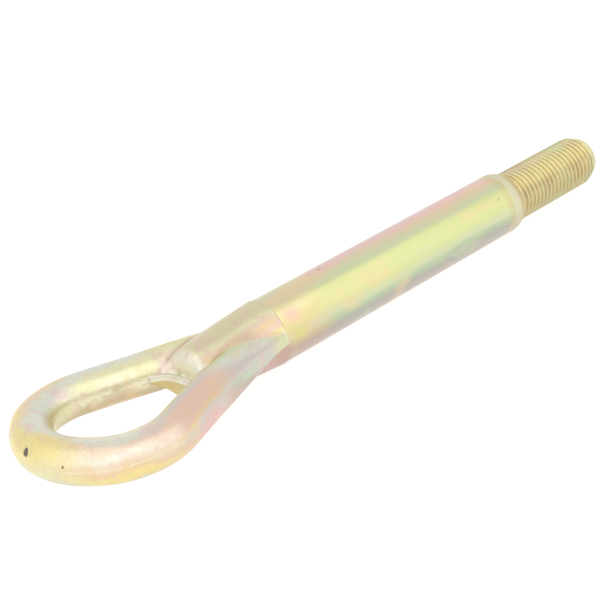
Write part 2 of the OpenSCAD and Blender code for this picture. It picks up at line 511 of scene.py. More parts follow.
    def rounded_end(self, last: np.ndarray) -> np.ndarray:
        """Rows that round the forging's end edge over a quarter circle and close it on the axis.

        The quarter circle is as large as the forging stands proud of the turned shank.

        Args:
            last: The last row of a quarter.

        Returns:
            The rows that replace it, the last one being a pole on the axis.
        """
        q = np.linspace(0.0, np.pi / 2, self.step_rows)[:, None]
        radius = np.hypot(last[:, 1], last[:, 2])
        size = np.clip(radius - self.turned_r, self.least_step, self.step_round)
        x = self.step_x - size * (1 - np.sin(q))
        share = 1 - size / radius * (1 - np.cos(q))
        flat = np.full((2, len(radius)), self.step_x)
        x = np.concatenate([x, flat])
        share = np.concatenate([share, flat * 0 + np.array([[0.5], [0.0]])])
        return np.stack([x, share * last[:, 1], share * last[:, 2]], -1)

    def distances(self) -> np.ndarray:
        """Distance of every row from the tip, along the middle of the rows.

        Returns:
            The distances in mm.
        """
        inner, outer = self.row_ends()
        middle = (inner + outer) / 2
        steps = np.linalg.norm(np.diff(middle, axis=0), axis=1)
        return np.concatenate([[0.0], np.cumsum(steps)])

    def skin(self) -> Skin:
        """The whole forging: a quarter of each die half with its flash band, mirrored in Y.

        Returns:
            The closed skin.
        """
        flat = np.array([1.0, 1.0, 0.0])
        points: list[np.ndarray] = []
        triangles: list[np.ndarray] = []
        arrows: list[np.ndarray] = []
        along: list[np.ndarray] = []
        ridge: list[np.ndarray] = []
        first = 0
        for die in (UPPER, LOWER):
            quarter, outward, share = self.quarter(die)
            end = self.rounded_end(quarter[-1])
            quarter = np.concatenate([quarter[:-1], end])
            outward = np.concatenate([outward[:-1], np.broadcast_to(outward[-1], end.shape)])
            share = np.concatenate([share[:-1], np.broadcast_to(share[-1], end.shape[:2])])
            stations = np.full(len(quarter), self.distances()[-1])
            stations[:self.last_row] = self.distances()[:-1]
            hole = quarter[:self.crotch_row + 1, 0]
            rim = quarter[:, -1]
            sheets = [
                (quarter, outward, share),
                (np.stack([rim, rim * flat], 1), outward[:, -2:], 0 * share[:, -2:]),
                (np.stack([hole * flat, hole], 1), outward[:len(hole), :2], share[:len(hole), :2]),
            ]
            for sheet, arrow, crest in sheets:
                rows, cols = sheet.shape[:2]
                for left in (1, -1):
                    mirror = np.array([1, left, die.side])
                    points.append((sheet * mirror).reshape(-1, 3))
                    arrows.append((arrow * mirror).reshape(-1, 3))
                    along.append(np.repeat(stations[:rows], cols))
                    ridge.append(crest.reshape(-1))
                    faces = grid_triangles(rows, cols, False, first)
                    triangles.append(faces if left * die.side > 0 else faces[:, ::-1])
                    first += rows * cols
        joined, faces, kept = weld(np.concatenate(points), np.concatenate(triangles))
        values = {name: np.concatenate(parts)[kept]
                  for name, parts in (("outward", arrows), ("along", along), ("ridge", ridge))}
        return Skin(joined, faces, values).facing_out()


# ---------------------------------------------------------------- the turned end

@dataclass
class TurnedShank:
    """The round shank, turned to size between the forging and the shoulder."""

    radius: float = 10.75
    start_x: float = -110.4
    shoulder_cone: float = 3.0
    ring_r: float = 9.5
    seat_r: float = 7.0
    seat_depth: float = 1.0
    shoulder_round: float = 1.0
    ring_round: float = 0.25
    small_round: float = 0.1
    start_margin: float = 0.4
    end_margin: float = 1.4
    corner_rows: int = 7
    long_rows: int = 90
    facets: int = 160

    def skin(self) -> Skin:
        """The shank as a profile carried round the axis, with softened shoulder edges.

        Between the rounded corners it has even rows, so that its triangles stay short.

        Returns:
            The closed skin.
        """
        profile = filleted([
            (self.start_x, 0.0, 0.0),
            (self.start_x, self.radius, self.small_round),
            (-self.shoulder_cone, self.radius, self.shoulder_round),
            (0.0, self.ring_r, self.ring_round),
            (0.0, self.seat_r, self.small_round),
            (-self.seat_depth, self.seat_r, self.small_round),
            (-self.seat_depth, 0.0, 0.0),
        ], self.corner_rows)
        first, last = self.start_x + self.start_margin, -self.shoulder_cone - self.end_margin
        split = int(np.argmax(profile[:, 0] >= first))
        body = np.linspace(first, last, self.long_rows)
        body = np.stack([body, np.full_like(body, self.radius)], -1)
        profile = np.concatenate([profile[:split], body, profile[split:]])
        return turned_skin(profile[:, 0], profile[:, 1], self.facets)


@dataclass
class ThreadedEnd:
    """The rolled M18 x 2 right-handed thread, from the shoulder to the cone at the tip."""

    major_r: float = 8.93
    cone_r: float = 9.0
    pitch: float = 2.0
    depth: float = 1.22
    length: float = 42.0
    tip_lead: float = 4.5
    tip_face_r: float = 7.15
    start_x: float = -0.9
    start_gap: float = 0.02
    start_drop: float = 0.6
    fade: float = 1.6
    crest_share: float = 0.13
    root_share: float = 0.22
    easing: float = 0.4
    face_round: float = 0.3
    round_rows: int = 6
    rows_per_pitch: int = 18
    facets: int = 84

    def skin(self) -> Skin:
        """The thread as a radius over distance and angle.

        The phase is x / pitch less the share of a turn. The radius falls from the crest by the
        depth times a trapezoid of the phase whose corners are eased, fades into the shoulder, and
        is limited by the cone at the tip. A quarter circle rounds the end face's edge.

        Returns:
            The closed skin.
        """
        rows = int(self.length / self.pitch * self.rows_per_pitch)
        x = np.linspace(self.start_gap, self.length - self.face_round, rows)[:, None]
        turn = np.arange(self.facets)[None, :] / self.facets
        phase = np.mod(x / self.pitch - turn, 1.0)
        wave = np.abs(2 * phase - 1)
        sloped = 1 - self.root_share - self.crest_share
        flank = np.clip((wave - self.root_share) / sloped, 0.0, 1.0)
        cut = (1 - self.easing) * (1 - flank) + self.easing * (1 - smooth(0.0, 1.0, flank))
        thread = self.major_r - self.depth * cut * smooth(0.0, self.fade, x)
        slope = (self.cone_r - self.tip_face_r) / self.tip_lead
        cone = self.tip_face_r + slope * (self.length - x)
        radius = np.minimum(thread, cone)
        q = np.linspace(0.0, np.pi / 2, self.round_rows)[1:, None]
        edge_x = self.length - self.face_round * (1 - np.sin(q)) + 0 * turn
        edge_r = radius[-1:] - self.face_round * (1 - np.cos(q))
        start = np.array([[self.start_x], [self.start_x], [0.0]]) + 0 * turn
        start_r = np.stack([0 * turn[0], 0 * turn[0] + self.major_r - self.start_drop, radius[0]])
        face_x = np.full((2, self.facets), self.length)
        face_r = np.concatenate([edge_r[-1:] * 0.5, edge_r[-1:] * 0.0])
        along = np.concatenate([start, x + 0 * turn, edge_x, face_x])
        away = np.concatenate([start_r, radius, edge_r, face_r])
        return turned_skin(along, away, self.facets)


# ---------------------------------------------------------------- finishes

Inputs = dict[str | int, Any]


def add_node(tree: bpy.types.NodeTree, kind: str, inputs: Inputs | None = None,
             stops: Sequence[tuple[float, str]] = (), **settings: Any) -> bpy.types.Node:
    """Add a node with its settings, values and links.

    Args:
        tree: The tree that takes the node.
        kind: The node's type.
        inputs: A value or a socket to link, for each input by name or number.
        stops: Places and hex colours of a colour ramp.
        settings: The node's own properties.

    Returns:
        The node.
    """
    node = tree.nodes.new(kind)
    for name, value in settings.items():
        setattr(node, name, value)
    for name, value in (inputs or {}).items():
        if isinstance(value, bpy.types.NodeSocket):
            tree.links.new(value, node.inputs[name])
        else:
            node.inputs[name].default_value = value
    if stops:
        ramp = node.color_ramp
        while len(ramp.elements) < len(stops):
            ramp.elements.new(0.5)
        for element, (place, colour) in zip(ramp.elements, sorted(stops)):
            element.position = place
            element.color = to_linear(colour)
    return node


class Film(Enum):
    """Interference colours of a yellow chromate film by its thickness, and four of bare spots; some
    also serve as painted highlights and painted shade.
    """

    PEARL = "#e6e3d2"
    WHEY = "#f2ecce"
    CREAM = "#ece5c2"
    SAND = "#eee0bc"
    BUTTER = "#efe5ac"
    PRIMROSE = "#e4e1b8"
    STRAW = "#e2d9a6"
    GOLD = "#ecdb99"
    CITRINE = "#e4e6a6"
    LIME = "#d2d698"
    SAGE = "#ccd2ac"
    FERN = "#bccb98"
    MOSS = "#b4c4a2"
    SEA = "#c0ceb8"
    LICHEN = "#c6c59d"
    MILK = "#d6d1b4"
    MIST = "#dadccf"
    LILAC = "#cfc7c2"
    ORCHID = "#e0bcb8"
    DUSK = "#c0b6ab"
    ASH = "#b3b0a5"
    MAUVE = "#bfaaa0"
    ROSE = "#e4c2b2"
    SHELL = "#e8c0b0"
    BLUSH = "#e8d0ba"
    APRICOT = "#e6cba0"
    RUSSET = "#c6a79b"
    CLAY = "#c2a893"
    TAN = "#d5cca9"
    WHEAT = "#d0c495"
    AMBER = "#dccd94"
    FAWN = "#cab695"
    HONEY = "#cdba80"
    BRASS = "#d0be8e"
    OCHRE = "#d3cd86"
    OLIVE = "#b8af84"
    BARE_STEEL = "#6c6457"
    BARE_SCAR = "#8a7a5c"
    GREY_SCAR = "#a0967f"
    PALE_SCAR = "#b5b090"

    def colour(self, surface: "Surface") -> tuple[float, float, float, float]:
        """The film's linear colour, the same everywhere."""
        return to_linear(self.value)


@dataclass(frozen=True)
class Span:
    """A stretch of a measure over which a value goes from low to high.

    It goes along 3t^2 - 2t^3 where it is eased, and evenly where it isn't.
    """

    measure: str
    start: float
    end: float
    low: float = 0.0
    high: float = 1.0
    eased: bool = True

    def share(self, surface: "Surface") -> bpy.types.NodeSocket:
        """The value at each place, low before the start and high after the end."""
        return add_node(surface.tree, "ShaderNodeMapRange", {
            "Value": surface.at[self.measure], "From Min": self.start, "From Max": self.end,
            "To Min": self.low, "To Max": self.high,
        }, interpolation_type="SMOOTHSTEP" if self.eased else "LINEAR").outputs["Result"]


@dataclass(frozen=True)
class Spot:
    """A small ellipsoid in mm, inside which a share goes from 0 at the rim to 1.

    The distance from the centre, in half widths, plus a share of noise has to stay under the rim.
    Inside it the share rises over the edge, which is narrow for a scar and wide for a soft patch.
    """

    centre: tuple[float, float, float]
    size: tuple[float, float, float]
    edge: float = 0.3
    rim: float = 1.35
    noise_scale: float = 1.4
    noise_share: float = 0.5

    def share(self, surface: "Surface") -> bpy.types.NodeSocket:
        """The share at each place.

        Args:
            surface: The surface that has the spot.

        Returns:
            Socket of the share.
        """
        near = add_node(surface.tree, "ShaderNodeMapping", {
            "Vector": surface.at["place"],
            "Location": tuple(-c / s for c, s in zip(self.centre, self.size)),
            "Scale": tuple(1.0 / (s * MM) for s in self.size)}).outputs["Vector"]
        away = add_node(surface.tree, "ShaderNodeVectorMath", {0: near}, operation="LENGTH")
        noise = add_node(surface.tree, "ShaderNodeTexNoise", {
            "Vector": near, "Scale": self.noise_scale})
        uneven = add_node(surface.tree, "ShaderNodeMath", {
            0: noise.outputs["Fac"], 1: self.noise_share, 2: away.outputs["Value"]},
            operation="MULTIPLY_ADD")
        return add_node(surface.tree, "ShaderNodeMapRange", {
            "Value": uneven.outputs[0], "From Min": self.rim, "From Max": self.rim - self.edge},
            interpolation_type="SMOOTHSTEP").outputs["Result"]


@dataclass(frozen=True)
class Zone:
    """Films that follow one another along a measure, a stop being its value and the film there."""

    measure: str
    stops: tuple[tuple[float, Film], ...]

    def colour(self, surface: "Surface") -> bpy.types.NodeSocket:
        """The zone's colour where the measure has a value from 0 to 1."""
        stops = [(value, film.value) for value, film in self.stops]
        return add_node(surface.tree, "ShaderNodeValToRGB", {"Fac": surface.at[self.measure]},
                        stops=stops).outputs["Color"]


@dataclass(frozen=True)
class Layer:
    """A paint laid over what is under it, by its strength times the share that each limit gives."""

    paint: "Film | Zone | Coat"
    strength: float
    limits: tuple[Span | Spot, ...]

    def over(self, surface: "Surface", under: Any) -> bpy.types.NodeSocket:
        """Lay the paint over a colour.

        Args:
            surface: The surface that is painted.
            under: The colour under it, linear values or a socket.

        Returns:
            Socket of the colour with the layer.
        """
        share: Any = self.strength
        for limit in self.limits:
            share = add_node(surface.tree, "ShaderNodeMath", {0: share, 1: limit.share(surface)},
                             operation="MULTIPLY").outputs[0]
        return add_node(surface.tree, "ShaderNodeMix", {
            0: share, 6: under, 7: self.paint.colour(surface)}, data_type="RGBA").outputs[2]


@dataclass(frozen=True)
class Coat:
    """A paint with layers laid over it in their order."""

    base: "Film | Zone | Coat"
    layers: tuple[Layer, ...]

    def colour(self, surface: "Surface") -> bpy.types.NodeSocket:
        """The coat's colour after its last layer.

        Args:
            surface: The surface that is painted.

        Returns:
            The colour, linear values or a socket.
        """
        colour = self.base.colour(surface)
        for layer in self.layers:
            colour = layer.over(surface, colour)
        return colour


# Films round the bar by tilt: 0.25 faces the hole, 0.5 faces up and 0.75 faces away from the hole.
TIP = Zone("tilt", (
    (0.1, Film.OLIVE), (0.3, Film.TAN), (0.38, Film.PEARL), (0.48, Film.MIST), (0.54, Film.GOLD),
    (0.66, Film.GOLD), (0.73, Film.STRAW), (0.8, Film.PRIMROSE), (0.86, Film.MIST),
    (0.95, Film.OLIVE)))
NEAR_BEND = Zone("tilt", (
    (0.1, Film.OLIVE), (0.3, Film.SAGE), (0.41, Film.WHEY), (0.47, Film.PEARL), (0.53, Film.MIST),
    (0.58, Film.BLUSH), (0.66, Film.PEARL), (0.72, Film.BLUSH), (0.765, Film.APRICOT),
    (0.8, Film.GOLD), (0.87, Film.GOLD), (0.92, Film.MIST), (0.98, Film.OLIVE)))
NEAR_ARM = Zone("tilt", (
    (0.1, Film.OLIVE), (0.3, Film.TAN), (0.47, Film.TAN), (0.52, Film.LILAC), (0.57, Film.ROSE),
    (0.67, Film.ROSE), (0.71, Film.APRICOT), (0.745, Film.LILAC), (0.785, Film.ORCHID),
    (0.83, Film.ROSE), (0.88, Film.ROSE), (0.96, Film.FAWN)))
NEAR_SHELF = Zone("tilt", (
    (0.1, Film.HONEY), (0.3, Film.HONEY), (0.4, Film.SAGE), (0.45, Film.LIME), (0.5, Film.SAGE),
    (0.57, Film.MIST), (0.64, Film.LILAC), (0.71, Film.LILAC), (0.765, Film.SEA),
    (0.8, Film.DUSK), (0.86, Film.DUSK), (0.96, Film.FAWN)))
FAR_BEND = Zone("tilt", (
    (0.1, Film.FAWN), (0.24, Film.PRIMROSE), (0.33, Film.PEARL), (0.39, Film.MIST),
    (0.45, Film.MIST), (0.5, Film.BLUSH), (0.56, Film.GOLD), (0.7, Film.STRAW),
    (0.9, Film.OLIVE)))
FAR_ARM = Zone("tilt", (
    (0.08, Film.BLUSH), (0.13, Film.FAWN), (0.18, Film.FAWN), (0.22, Film.TAN), (0.25, Film.WHEY),
    (0.29, Film.WHEY), (0.34, Film.PRIMROSE), (0.4, Film.PRIMROSE), (0.45, Film.MIST),
    (0.6, Film.MIST), (0.8, Film.SAGE), (0.95, Film.FAWN)))
FAR_ROOT = Zone("tilt", (
    (0.12, Film.OLIVE), (0.18, Film.OLIVE), (0.26, Film.TAN), (0.31, Film.CREAM),
    (0.36, Film.PRIMROSE), (0.42, Film.PRIMROSE), (0.5, Film.STRAW), (0.56, Film.BLUSH),
    (0.65, Film.MIST), (0.8, Film.TAN), (0.95, Film.FAWN)))

# Films round the axis by turn: 0.25 faces down, 0.5 faces +Y, 0.75 faces up, 0 and 1 face -Y.
# On the ridge's far flank, turn 0.45 to 0.6, the fawn stops are painted shade, a dark line. On its
# upper near flank, round turn 0.86 to 0.88, the primrose and blush stops are the film's colour with
# a painted highlight.
CREST = Zone("turn", (
    (0.0, Film.RUSSET), (0.18, Film.RUSSET), (0.45, Film.FAWN), (0.6, Film.FAWN),
    (0.68, Film.TAN), (0.82, Film.TAN), (0.855, Film.PRIMROSE), (0.88, Film.BLUSH),
    (0.905, Film.APRICOT), (0.93, Film.BLUSH), (0.955, Film.GOLD), (0.98, Film.PRIMROSE),
    (1.0, Film.SAGE)))
# The moss and ash stops on the lower near side, turn 0.03 to 0.09, are darkened there as painted
# shade.
SHANK = Zone("turn", (
    (0.0, Film.SAGE), (0.03, Film.MOSS), (0.06, Film.ASH), (0.09, Film.ASH), (0.16, Film.MAUVE),
    (0.24, Film.ROSE), (0.34, Film.TAN), (0.44, Film.STRAW), (0.52, Film.LIME), (0.6, Film.MIST),
    (0.68, Film.LILAC), (0.74, Film.ORCHID), (0.785, Film.ROSE), (0.815, Film.TAN),
    (0.845, Film.SAGE), (0.875, Film.LIME), (0.96, Film.LIME), (1.0, Film.SAGE)))
SHANK_START = Zone("turn", (
    (0.0, Film.TAN), (0.04, Film.FAWN), (0.07, Film.MAUVE), (0.12, Film.MAUVE), (0.3, Film.FAWN),
    (0.5, Film.STRAW), (0.6, Film.SAGE), (0.7, Film.SAGE), (0.78, Film.TAN), (0.83, Film.TAN),
    (0.86, Film.STRAW), (0.91, Film.STRAW), (0.94, Film.AMBER), (0.97, Film.AMBER),
    (1.0, Film.TAN)))

NEAR_SIDE = Span("y", 2.0, -2.0)


def ring_side(bend: Zone, arm: Zone, root: Zone) -> Coat:
    """One side of the forging: the tip's films, then the bend's, the arm's and the root's."""
    return Coat(TIP, (
        Layer(bend, 1.0, (Span("station", 5.0, 22.0),)),
        Layer(arm, 1.0, (Span("station", 30.0, 47.0),)),
        Layer(root, 1.0, (Span("station", 57.0, 73.0),)),
    ))


# The ridge, from its nose to the step. Above the parting plane the nose is painted pale pearl, a
# painted highlight on its rounded front.
RIDGE_COAT = Coat(Film.PEARL, (
    Layer(Film.HONEY, 1.0, (Span("z", -0.7, -1.2),)),
    Layer(CREST, 1.0, (Span("x", -140.0, -136.5),)),
))
FORGED_COAT = Coat(ring_side(FAR_BEND, FAR_ARM, FAR_ROOT), (
    Layer(ring_side(NEAR_BEND, NEAR_ARM, NEAR_SHELF), 1.0, (NEAR_SIDE,)),
    # the near shelf's last few millimetres before the step
    Layer(Film.CITRINE, 0.5, (Span("x", -119.0, -113.5), Span("z", 7.0, 4.5), NEAR_SIDE)),
    Layer(RIDGE_COAT, 1.0, (Span("flank", 0.3, 0.95),)),
    # painted shade in the valley between ridge and arm
    Layer(Film.RUSSET, 0.4, (Span("ridge", 0.02, 0.4), Span("ridge", 0.98, 0.6))),
    # a painted highlight on the rounded edge of the step, at the sides only
    Layer(Film.CREAM, 0.75, (Span("x", -111.3, -110.7), Span("z", 9.5, 8.0), Span("z", -2.0, 0.0))),
    # a painted highlight along the line where the flash was trimmed off the outside of the bends
    Layer(Film.CREAM, 0.6, (Span("z", 0.0, 0.3), Span("z", 0.9, 0.5), Span("outward", 0.85, 0.97),
                            Span("station", 8.0, 16.0), Span("station", 45.0, 33.0))),
    Layer(Film.APRICOT, 0.4, (Span("patches", 0.54, 0.68),)),
    Layer(Film.ORCHID, 0.5, (Span("patches", 0.46, 0.33),)),
    Layer(Film.OLIVE, 0.2, (Span("relief", 0.3, 0.7),)),
    # where the hanger held the ring, and a small scar beside it
    Layer(Film.BARE_STEEL, 1.0, (Spot((-194.1, 0.7, 3.6), (1.5, 1.25, 1.35)),)),
    Layer(Film.BARE_SCAR, 1.0, (Spot((-192.0, -14.7, 2.0), (0.5, 0.4, 0.5)),)),
))
TURNED_COAT = Coat(SHANK_START, (
    Layer(SHANK, 1.0, (Span("start", -100.0, -87.0),)),
    Layer(Film.APRICOT, 0.5, (Span("patches", 0.5, 0.68),)),
    Layer(Film.SAGE, 0.35, (Span("patches", 0.46, 0.34),)),
    # a brassy belt, then the milky collar and the brassy cone of the shoulder
    Layer(Film.BRASS, 0.6, (Span("collar", -10.5, -7.5), Span("collar", -6.2, -6.8))),
    Layer(Film.MILK, 0.9, (Span("milky", 0.0, 1.0, eased=False),)),
    Layer(Film.BRASS, 1.0, (Span("x", -3.1, -2.5),)),
    Layer(Film.OLIVE, 0.08, (Span("relief", 0.0, 1.0, eased=False),)),
    # a rosy and a yellow patch beside the step, and two small scars
    Layer(Film.SHELL, 1.0, (Spot((-105.3, -9.2, 5.7), (4.2, 3.4, 3.4), 1.2),)),
    Layer(Film.OCHRE, 1.0, (Spot((-105.0, -10.6, -0.4), (5.0, 2.8, 3.0), 1.2),)),
    Layer(Film.GREY_SCAR, 1.0, (Spot((-85.7, -0.9, 10.7), (0.55, 0.45, 0.5)),)),
    Layer(Film.PALE_SCAR, 1.0, (Spot((-11.8, -9.2, 5.6), (0.5, 0.45, 0.5)),)),
))
THREAD_COAT = Coat(Film.WHEAT, (
    Layer(Film.LICHEN, 1.0, (Span("clouds", 0.4, 0.62),)),
    # a mauve and a green patch on top of the crests
    Layer(Film.CLAY, 1.0, (Spot((9.0, 0.6, 8.8), (9.0, 4.2, 4.0), 1.2),)),
    Layer(Film.FERN, 1.0, (Spot((28.0, 0.0, 8.8), (9.0, 4.2, 4.0), 1.2),)),
    # the grooves, up to the cone at the tip: painted light, paler than the crests, that offsets the
    # shade falling in them
    Layer(Film.SAND, 1.0, (Span("radius", 8.93, 7.75), Span("x", 39.0, 37.0))),
    Layer(Film.FAWN, 0.5, (Span("stains", 0.5, 0.64),)),
    # a painted highlight: a lighter band along the upper near side
    Layer(Film.BUTTER, 0.42, (Span("turn", 0.7833, 0.8556), Span("turn", 0.9556, 0.9056))),
    # painted shade, browner away from the lit upper near side
    Layer(Film.OLIVE, 0.5, (Span("facing", 0.85, 0.3),)),
))


@dataclass
class Surface:
    """A material's tree and the measures that its coat reads by name.

    Every surface has place in metres, x, y and z in mm, and turn, the share of a turn round X.
    """

    tree: bpy.types.NodeTree
    at: dict[str, Any] = field(default_factory=dict)

    def __post_init__(self) -> None:
        """Clear the tree and add the measures that every surface has."""
        self.tree.nodes.clear()
        self.at["place"] = add_node(self.tree, "ShaderNodeTexCoord").outputs["Object"]
        in_mm = add_node(self.tree, "ShaderNodeVectorMath", {
            0: self.at["place"], "Scale": 1.0 / MM}, operation="SCALE")
        axes = add_node(self.tree, "ShaderNodeSeparateXYZ", {0: in_mm.outputs["Vector"]})
        for name in "xyz":
            self.at[name] = axes.outputs[name.upper()]
        self.at["turn"] = self.share_of_turn("z", "y")

    def share_of_turn(self, rise: str, run: str) -> bpy.types.NodeSocket:
        """The angle of a direction as a share of a turn, 0.5 along the run and 0.75 along the rise.

        Args:
            rise: Name of the direction's rise.
            run: Name of its run.

        Returns:
            Socket of the share.
        """
        angle = add_node(self.tree, "ShaderNodeMath", {0: self.at[rise], 1: self.at[run]},
                         operation="ARCTAN2")
        return add_node(self.tree, "ShaderNodeMapRange", {
            "Value": angle.outputs[0], "From Min": -math.pi, "From Max": math.pi}).outputs["Result"]

    def clouds(self, size_mm: float, stretch: tuple[float, float, float] = (1.0, 1.0, 1.0),
               detail: float = 3.0) -> bpy.types.NodeSocket:
        """Soft noise around 0.5 with features of a real size.

        Args:
            size_mm: Size of a feature in mm.
            stretch: How much longer a feature is along X, Y and Z.
            detail: Levels of finer noise.

        Returns:
            Socket of the noise.
        """
        scale = tuple(1.0 / (size_mm * MM * s) for s in stretch)
        mapped = add_node(self.tree, "ShaderNodeMapping", {
            "Vector": self.at["place"], "Scale": scale})
        return add_node(self.tree, "ShaderNodeTexNoise", {
            "Vector": mapped.outputs["Vector"], "Scale": 1.0, "Detail": detail, "Roughness": 0.55,
        }).outputs["Fac"]

    def uneven(self, measure: str, noise: str, low: float, reach: float) -> bpy.types.NodeSocket:
        """A measure that noise pushes, by -reach where it is low and by reach where it is 1 - low.

        Args:
            measure: Name of the measure.
            noise: Name of the noise.
            low: Noise that gives the full push back.
            reach: The largest push, in the measure's unit.

        Returns:
            Socket of the uneven measure.
        """
        push = Span(noise, low, 1.0 - low, -reach, reach).share(self)
        return add_node(self.tree, "ShaderNodeMath", {0: self.at[measure], 1: push}).outputs[0]


@dataclass(frozen=True)
class PlatedSteel:
    """Zinc-plated steel under a yellow chromate film, dipped and dried hanging.

    The film is thinner than a wavelength of light in places and thicker in others, so the eye sees
    straw yellow that drifts through rose, lime and sea green in soft bands, over a bright but not
    mirror-like metal.
    """

    name: str
    coat: Coat
    roughness: float = 0.3
    relief_mm: float = 0.01

    def measure(self, surface: Surface) -> None:
        """Add the measures that the coat reads, the relief from 0 to 1 and the roughness."""
        raise NotImplementedError

    def material(self) -> bpy.types.Material:
        """The metal, with its coat for a colour.

        Returns:
            The material.
        """
        material = bpy.data.materials.new(self.name)
        material.use_nodes = True
        surface = Surface(material.node_tree)
        self.measure(surface)
        bump = add_node(surface.tree, "ShaderNodeBump", {
            "Height": surface.at["relief"], "Strength": 1.0, "Distance": self.relief_mm * MM})
        shader = add_node(surface.tree, "ShaderNodeBsdfPrincipled", {
            "Base Color": self.coat.colour(surface), "Metallic": 1.0,
            "Roughness": surface.at["roughness"], "Normal": bump.outputs["Normal"]})
        add_node(surface.tree, "ShaderNodeOutputMaterial", {"Surface": shader.outputs["BSDF"]})
        return material


@dataclass(frozen=True)
class ForgedFilm(PlatedSteel):
    """The film over scale-blasted forged skin: a satin metal with a fine glitter.

    The grain is drawn 0.7 mm wide, coarser than the real one, which is too fine to show.
    """

    grain_mm: float = 0.7
    relief_mm: float = 0.05
    roughness_drift: float = 0.1
    ridge_from: Span = Span("x", -148.0, -146.2)

    def measure(self, surface: Surface) -> None:
        """Add tilt, the distance from the tip and the share of the ridge, with noise in them.

        Args:
            surface: The surface of the forging.
        """
        tree, at = surface.tree, surface.at
        at["wander"] = surface.clouds(size_mm=16.0)
        at["mottle"] = surface.clouds(size_mm=2.4, detail=2.0)
        at["bands"] = surface.clouds(size_mm=13.0)
        at["patches"] = surface.clouds(size_mm=6.0)
        at["relief"] = surface.clouds(self.grain_mm, detail=2.0)
        satin = Span("wander", 0.3, 0.7, self.roughness, self.roughness + self.roughness_drift)
        at["roughness"] = satin.share(surface)
        for name in ("along", "ridge"):
            at[name] = add_node(tree, "ShaderNodeAttribute", attribute_name=name).outputs["Fac"]
        arrow = add_node(tree, "ShaderNodeAttribute", attribute_name="outward").outputs["Vector"]
        normal = add_node(tree, "ShaderNodeTexCoord").outputs["Normal"]
        at["up"] = add_node(tree, "ShaderNodeSeparateXYZ", {0: normal}).outputs["Z"]
        at["outward"] = add_node(tree, "ShaderNodeVectorMath", {0: normal, 1: arrow},
                                 operation="DOT_PRODUCT").outputs["Value"]
        at["tilt"] = surface.share_of_turn("outward", "up")
        at["tilt"] = surface.uneven("tilt", "wander", low=0.25, reach=0.04)
        at["tilt"] = surface.uneven("tilt", "mottle", low=0.3, reach=0.01)
        at["station"] = surface.uneven("along", "bands", low=0.2, reach=3.5)
        at["turn"] = surface.uneven("turn", "wander", low=0.25, reach=0.012)
        at["ridge"] = add_node(tree, "ShaderNodeMath", {
            0: at["ridge"], 1: self.ridge_from.share(surface)}, operation="MULTIPLY").outputs[0]
        # the fourth root undoes the fourth powers of the heights, so the films meet softly
        at["flank"] = add_node(tree, "ShaderNodeMath", {0: at["ridge"], 1: 0.25},
                               operation="POWER").outputs[0]


@dataclass(frozen=True)
class TurnedFilm(PlatedSteel):
    """The film over turned steel: a smooth metal with long bands of colour and fine lathe rings.

    The rings are drawn 1.4 mm apart, coarser than the real ones, which are too fine to show. They
    are clearest near the forging. The milky collar is duller.
    """

    ring_mm: float = 1.4
    relief_mm: float = 0.005
    clear: Span = Span("x", -75.0, -104.0, 0.15, 1.0)
    collar_roughness: float = 0.5

    def measure(self, surface: Surface) -> None:
        """Add the rings, and turn and distances with long clouds in them.

        Args:
            surface: The surface of the shank.
        """
        tree, at = surface.tree, surface.at
        at["long_clouds"] = surface.clouds(size_mm=14.0, stretch=(3.5, 1.0, 1.0))
        at["patches"] = surface.clouds(size_mm=8.0, stretch=(2.2, 1.0, 1.0))
        at["start"] = surface.uneven("x", "long_clouds", low=0.3, reach=3.0)
        at["collar"] = surface.uneven("x", "long_clouds", low=0.3, reach=0.8)
        turn = surface.uneven("turn", "long_clouds", low=0.25, reach=0.018)
        at["turn"] = add_node(tree, "ShaderNodeMath", {0: turn}, operation="FRACT").outputs[0]
        # the wave repeats every pi / (10 scale) along X, so this scale sets the rings' distance
        rings = add_node(tree, "ShaderNodeTexWave", {
            "Vector": at["place"], "Scale": math.pi / (10.0 * self.ring_mm * MM),
            "Distortion": 2.5, "Detail": 2.0, "Detail Scale": 3.0}, bands_direction="X")
        at["relief"] = add_node(tree, "ShaderNodeMath", {
            0: rings.outputs["Fac"], 1: self.clear.share(surface)}, operation="MULTIPLY").outputs[0]
        at["milky"] = Span("collar", -6.8, -5.8).share(surface)
        dull = Span("milky", 0.0, 1.0, self.roughness, self.collar_roughness)
        at["roughness"] = dull.share(surface)


@dataclass(frozen=True)
class ThreadFilm(PlatedSteel):
    """The film over the rolled thread: a brass yellow metal, browner in patches, with painted shade
    away from its lit upper near side.

    Its grain is drawn 0.6 mm wide, coarser than the real one, which is too fine to show.
    """

    grain_mm: float = 0.6
    relief_mm: float = 0.02
    bright_turn: float = 0.9056

    def measure(self, surface: Surface) -> None:
        """Add the distance from the axis, and how far a place faces the brightest side.

        Args:
            surface: The surface of the thread.
        """
        tree, at = surface.tree, surface.at
        flat = add_node(tree, "ShaderNodeCombineXYZ", {"Y": at["y"], "Z": at["z"]}).outputs[0]
        at["radius"] = add_node(tree, "ShaderNodeVectorMath", {0: flat},
                                operation="LENGTH").outputs["Value"]
        at["clouds"] = surface.clouds(size_mm=9.0)
        at["stains"] = surface.clouds(size_mm=11.0)
        # the cosine of the angle from the brightest side
        angle = add_node(tree, "ShaderNodeMapRange", {
            "Value": at["turn"], "From Min": self.bright_turn, "From Max": self.bright_turn + 1.0,
            "To Max": 2.0 * math.pi}, clamp=False)
        at["facing"] = add_node(tree, "ShaderNodeMath", {0: angle.outputs["Result"]},
                                operation="COSINE").outputs[0]
        at["relief"] = surface.clouds(self.grain_mm, detail=2.0)
        at["roughness"] = self.roughness


# ---------------------------------------------------------------- studio

